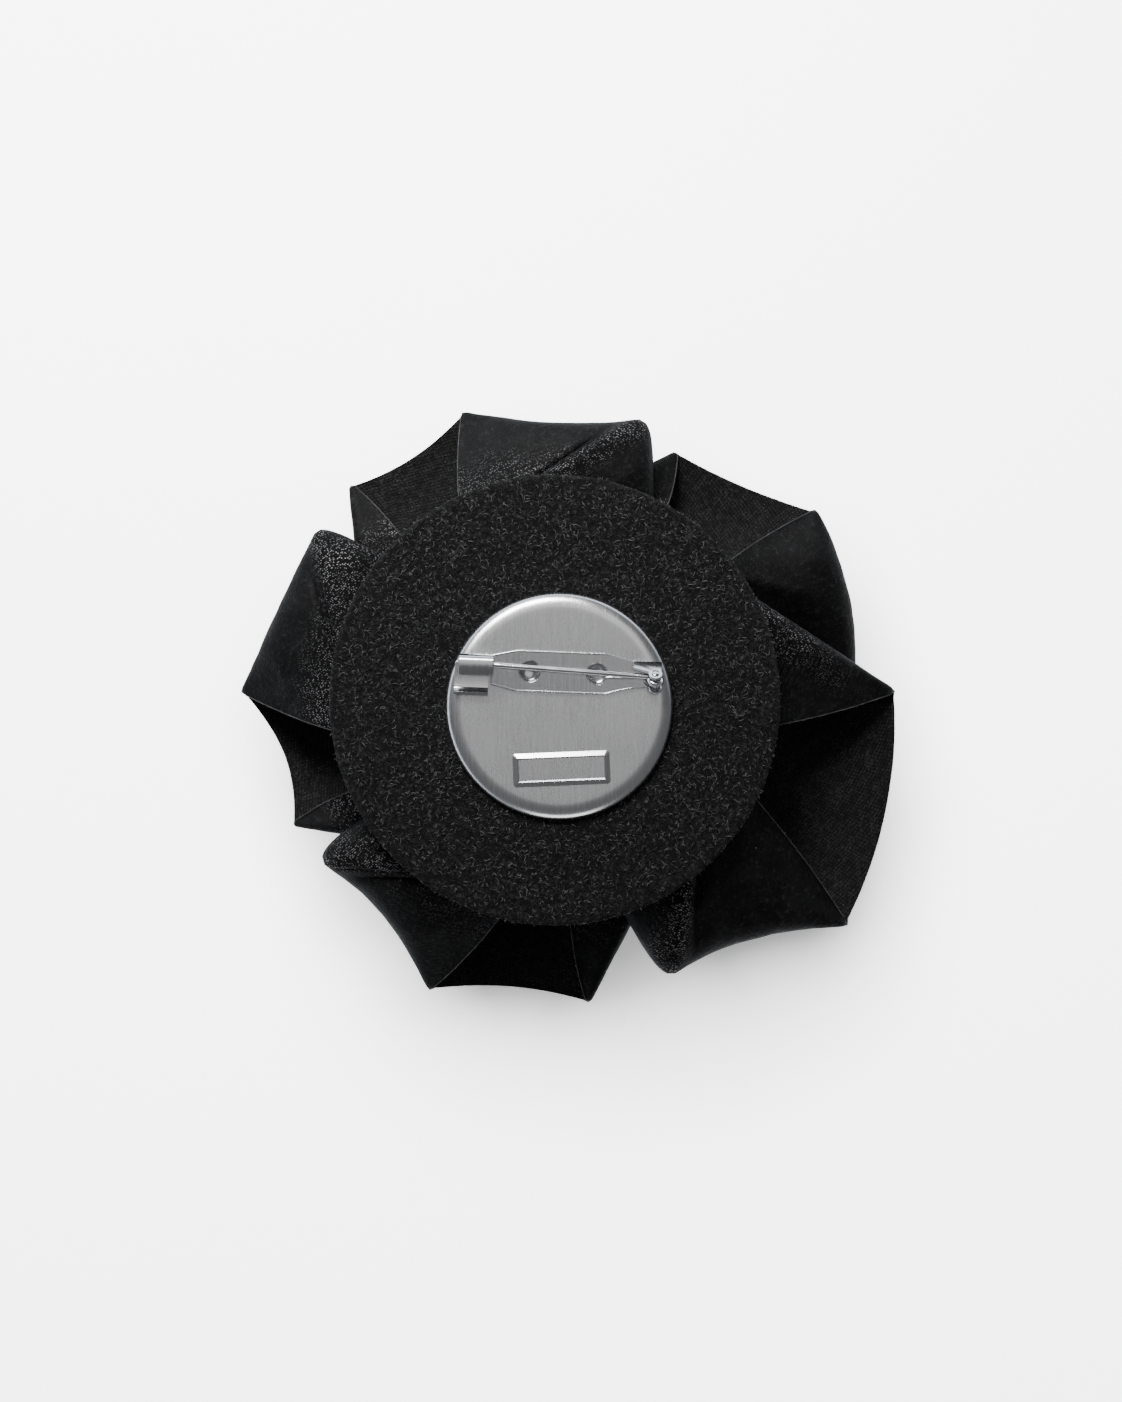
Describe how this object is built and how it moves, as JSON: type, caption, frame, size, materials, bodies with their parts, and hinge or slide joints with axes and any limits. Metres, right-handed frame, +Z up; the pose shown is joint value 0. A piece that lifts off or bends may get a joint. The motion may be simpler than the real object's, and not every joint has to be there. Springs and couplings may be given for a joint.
{
  "type": "fabric rose brooch",
  "caption": "Black cloth rose for pinning to clothes, with rolled sharp-cornered petals, a round felt backing, a pressed metal disc, and a bar pin whose wire hooks into a catch.",
  "frame": {"origin": "on the ground under the middle of the outline, with the rose lying on its face", "axes": "+Z up and out of the brooch's back, +X along the bar pin to its hinge, which is also the longer side of the outline, +Y to the top of the back"},
  "size_m": [0.0873, 0.0788, 0.0359],
  "materials": {
    "petal_cloth": "matte satin face with a soft grey sheen, darker fleecy wrong side, raw cut edges",
    "felt": "needle-punched felt of short curly fibres",
    "pressed_metal": "finely brushed tin plate with a polished rounded edge",
    "bar_metal": "bright nickel-plated strip, lightly scratched",
    "wire_metal": "polished nickel-plated wire"
  },
  "bodies": {
    "rose": {"outer_petal_1": "petal_cloth", "outer_petal_2": "petal_cloth", "outer_petal_3": "petal_cloth", "outer_petal_4": "petal_cloth", "outer_petal_5": "petal_cloth", "middle_petal_1": "petal_cloth", "middle_petal_2": "petal_cloth", "middle_petal_3": "petal_cloth", "middle_petal_4": "petal_cloth", "middle_petal_5": "petal_cloth", "inner_petal_1": "petal_cloth", "inner_petal_2": "petal_cloth", "inner_petal_3": "petal_cloth", "inner_petal_4": "petal_cloth", "heart_petal_1": "petal_cloth", "heart_petal_2": "petal_cloth", "heart_petal_3": "petal_cloth", "bud": "petal_cloth", "felt_disc": "felt", "back_disc": "pressed_metal", "pin_bar": "bar_metal", "hinge_rivet": "bar_metal", "spring_tail": "bar_metal"},
    "pin": {"pin_wire": "wire_metal"}
  },
  "joints": [
    {"name": "pin_hinge", "type": "hinge", "parent": "rose", "child": "pin", "pos_m": [0.01136, 0.00346, 0.03415], "axis": [0.0271, 0.7066, 0.7071], "range_deg": [0, 110]}
  ]
}
